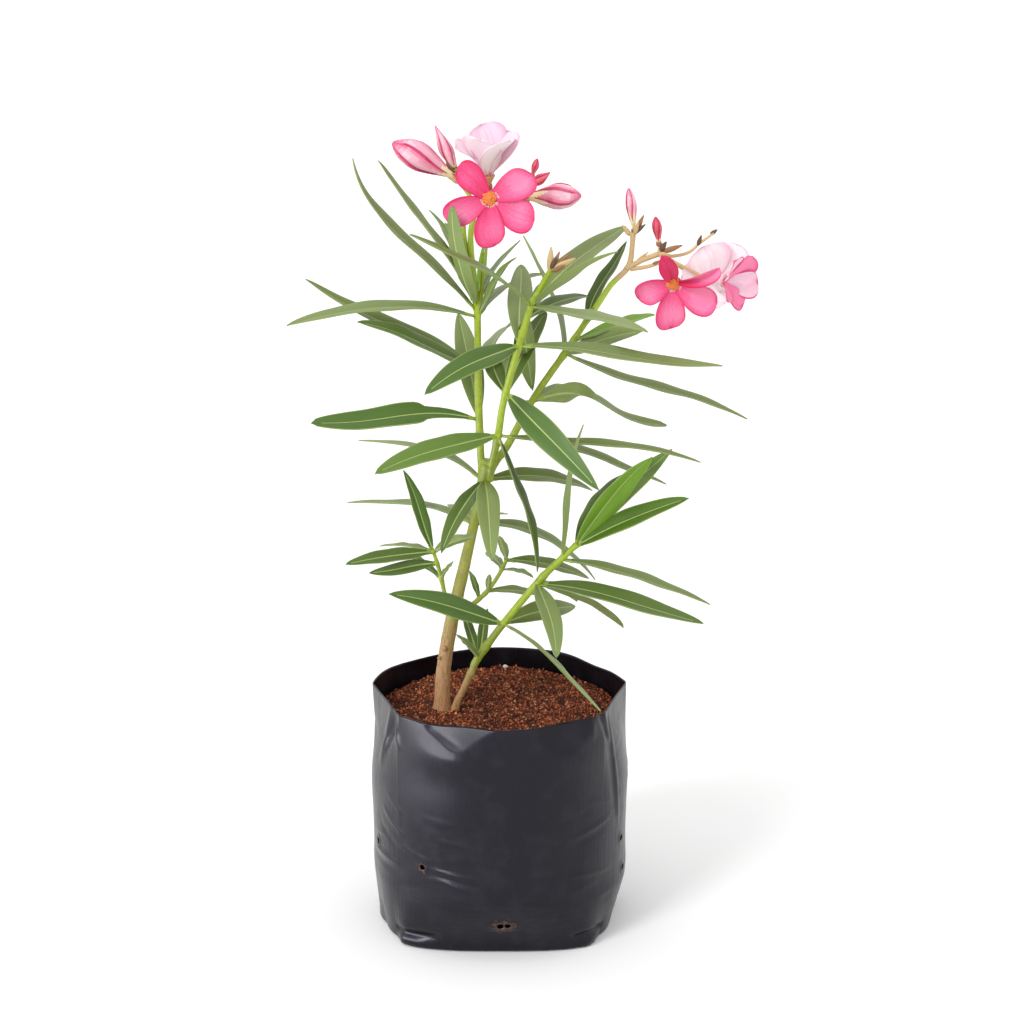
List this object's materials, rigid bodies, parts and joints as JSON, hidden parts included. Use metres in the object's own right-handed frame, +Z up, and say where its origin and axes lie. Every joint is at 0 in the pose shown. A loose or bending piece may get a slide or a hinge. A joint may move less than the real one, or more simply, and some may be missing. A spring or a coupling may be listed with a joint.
{
  "type": "potted oleander",
  "caption": "Young oleander shrub in a black nursery grow bag: bare lower stems, whorled lance-shaped leaves and two clusters of pink blossom.",
  "frame": {"origin": "centre of the grow bag's flat underside", "axes": "+Z up, -Y towards the front, +X to the right as seen from the front"},
  "size_m": [0.2567, 0.1787, 0.4617],
  "materials": {
    "bag": "black polythene film, slightly shiny and creased",
    "mix": "red-brown granular coco peat and soil",
    "bark": "thin tan bark, olive green towards the fork",
    "shoot": "smooth yellow-green young stem",
    "leaf": "leathery dark green with a pale midrib",
    "blossom": "soft pink petals"
  },
  "bodies": {
    "root": {"grow_bag": "bag", "potting_mix": "mix", "main_trunk": "bark", "basal_stem": "shoot", "left_bough": "shoot", "middle_bough": "shoot", "right_bough": "shoot", "left_foliage": "leaf", "middle_foliage": "leaf", "right_foliage": "leaf", "basal_foliage": "leaf", "left_shoot_foliage": "leaf", "right_shoot_foliage": "leaf", "fork_whorl": "leaf", "trunk_whorl": "leaf", "left_blossom": "blossom", "right_blossom": "blossom"}
  },
  "joints": []
}
